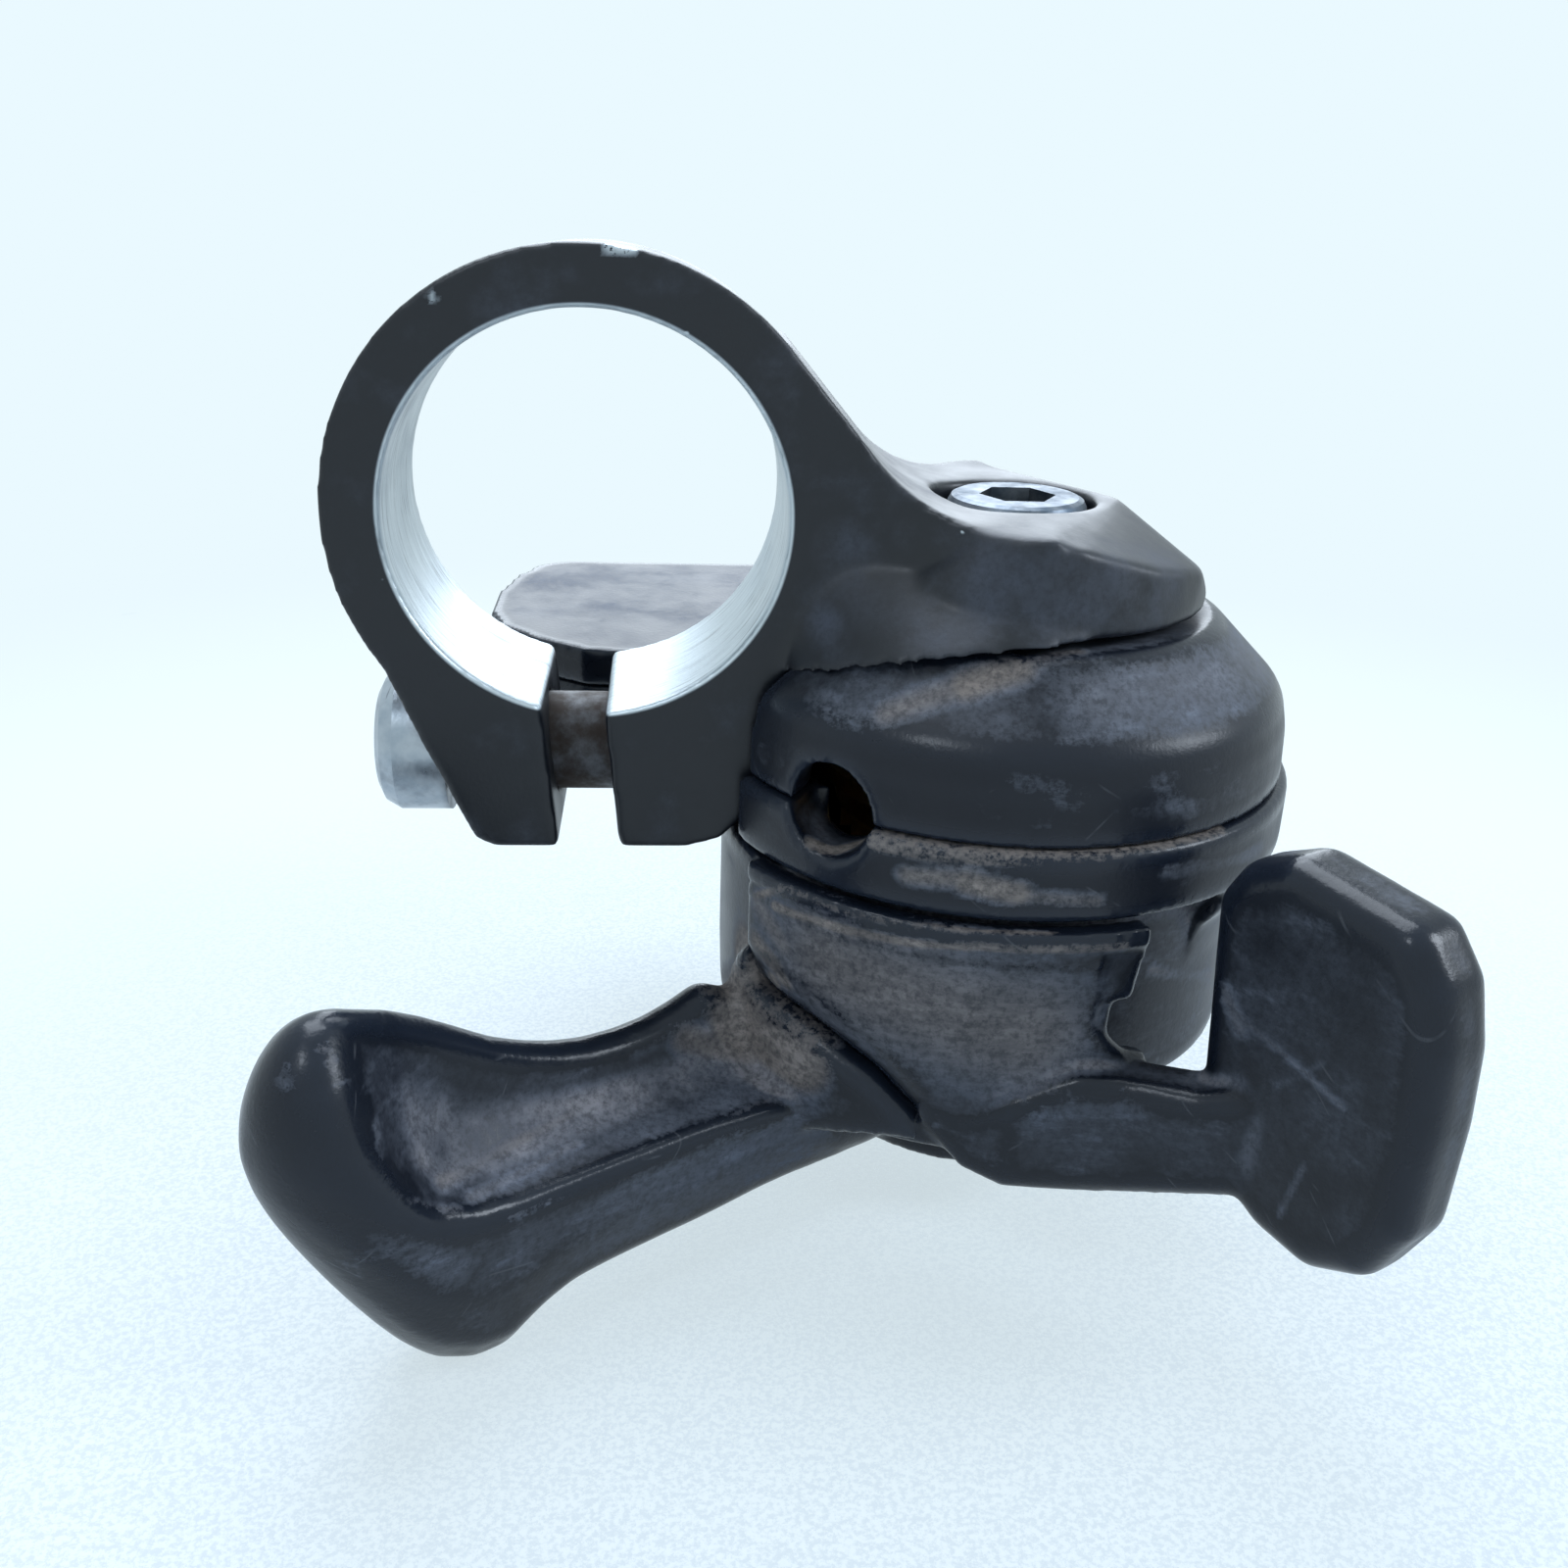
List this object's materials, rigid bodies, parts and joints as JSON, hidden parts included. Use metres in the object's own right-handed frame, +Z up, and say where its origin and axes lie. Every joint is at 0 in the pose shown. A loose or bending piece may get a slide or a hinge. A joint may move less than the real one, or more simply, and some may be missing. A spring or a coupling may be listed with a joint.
{
  "type": "trigger shifter",
  "caption": "Right-hand trigger shifter for a flat handlebar, with a bar clamp, a thumb lever, a release lever and a cable barrel adjuster.",
  "frame": {"origin": "centre of the handlebar bore, halfway along the clamp", "axes": "+Y along the bar towards the stem, +X forwards, +Z up along the lever axle"},
  "size_m": [0.0603, 0.0666, 0.0584],
  "materials": {
    "clamp_anodised": "satin black anodised",
    "bolt_steel": "bright plated, dulled",
    "housing_black": "moulded, worn satin, dusty",
    "lever_black": "moulded, rubbed glossy on the edges",
    "screw_steel": "zinc plated",
    "plate_steel": "stamped",
    "spool_brass": "machined",
    "spring_steel": "spring steel"
  },
  "bodies": {
    "root": {"clamp": "clamp_anodised", "pinch_bolt": "bolt_steel", "mount_bolt": "bolt_steel", "upper_housing": "housing_black", "lower_housing": "housing_black", "housing_screws": "screw_steel", "base_plate": "plate_steel", "main_axle": "plate_steel", "axle_nut": "screw_steel", "end_washer": "screw_steel", "lever_washer": "screw_steel", "spool_spring": "spring_steel", "hold_pawl_pin": "screw_steel", "hold_pawl_spring": "spring_steel", "thumb_lever_spring": "spring_steel", "release_lever_spring": "spring_steel"},
    "thumb": {"thumb_lever": "lever_black", "drive_carrier": "plate_steel", "drive_pawl_pin": "screw_steel", "drive_pawl_spring": "spring_steel"},
    "drive_pawl": {"drive_pawl": "plate_steel"},
    "spool": {"cable_spool": "spool_brass"},
    "release": {"release_lever": "lever_black", "release_cam": "plate_steel"},
    "hold_pawl": {"hold_pawl": "plate_steel"},
    "adjuster": {"barrel_adjuster": "lever_black", "adjuster_spring": "spring_steel"}
  },
  "joints": [
    {"name": "thumb_lever_pivot", "type": "hinge", "parent": "root", "child": "thumb", "pos_m": [0.025, 0, -0.037], "axis": [0, 0, -1], "range_deg": [0, 45]},
    {"name": "spool_turn", "type": "hinge", "parent": "root", "child": "spool", "pos_m": [0.025, 0, -0.0165], "axis": [0, 0, -1], "range_deg": [0, 45]},
    {"name": "drive_pawl_drop", "type": "hinge", "parent": "thumb", "child": "drive_pawl", "pos_m": [0.022, 0.0112, -0.0199], "axis": [0, 0, -1], "range_deg": [0, 9]},
    {"name": "release_lever_pivot", "type": "hinge", "parent": "root", "child": "release", "pos_m": [0.025, 0, -0.033], "axis": [0, 0, 1], "range_deg": [0, 12]},
    {"name": "hold_pawl_lift", "type": "hinge", "parent": "root", "child": "hold_pawl", "pos_m": [0.0311, -0.01057, -0.0175], "axis": [0, 0, 1], "range_deg": [0, 12]},
    {"name": "adjuster_turn", "type": "hinge", "parent": "root", "child": "adjuster", "pos_m": [0.035, 0.025, -0.0143], "axis": [0, 1, 0], "continuous": true}
  ],
  "couplings": [
    {"joint": "spool_turn", "follows": "thumb_lever_pivot", "ratio": 1}
  ]
}
